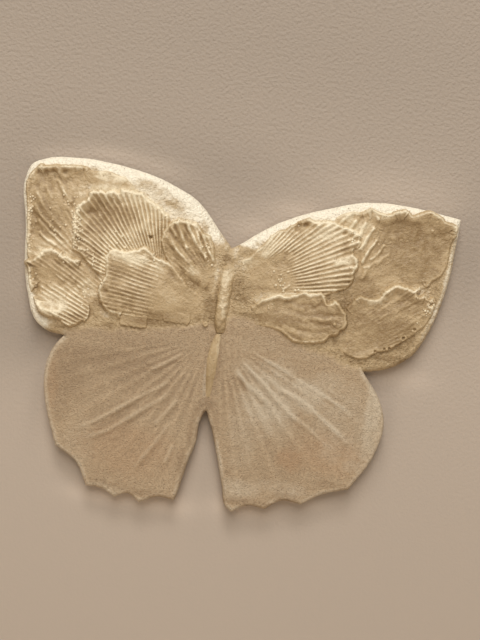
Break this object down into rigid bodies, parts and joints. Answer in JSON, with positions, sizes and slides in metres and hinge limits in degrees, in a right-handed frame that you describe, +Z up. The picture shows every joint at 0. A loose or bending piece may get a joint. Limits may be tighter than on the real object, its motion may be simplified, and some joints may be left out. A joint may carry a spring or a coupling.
{
  "type": "butterfly wall ornament",
  "caption": "Flat handmade clay butterfly to hang on a wall, with shell-ribbed petals on its upper wings and fluted lower wings.",
  "frame": {"origin": "mouth of the hanging hole on the flat back, behind the thorax", "axes": "+X right as seen from the front, +Y out of the back towards the wall, +Z up along the body"},
  "size_m": [0.282, 0.0163, 0.2143],
  "materials": {
    "slab_clay": "matte sandy stoneware, satin glaze over the upper wings",
    "petal_glaze": "thin honey-cream satin glaze",
    "body_glaze": "thin honey-cream satin glaze"
  },
  "bodies": {
    "root": {"wing_slab": "slab_clay", "left_tip_petal": "petal_glaze", "left_outer_petal": "petal_glaze", "left_middle_petal": "petal_glaze", "left_inner_petal": "petal_glaze", "left_shoulder_petal": "petal_glaze", "right_inner_petal": "petal_glaze", "right_small_petal": "petal_glaze", "right_tip_petal": "petal_glaze", "right_outer_petal": "petal_glaze", "left_outer_tab": "petal_glaze", "left_inner_tab": "petal_glaze", "clay_pellet": "petal_glaze", "thorax_roll": "body_glaze", "abdomen_roll": "body_glaze"}
  },
  "joints": []
}
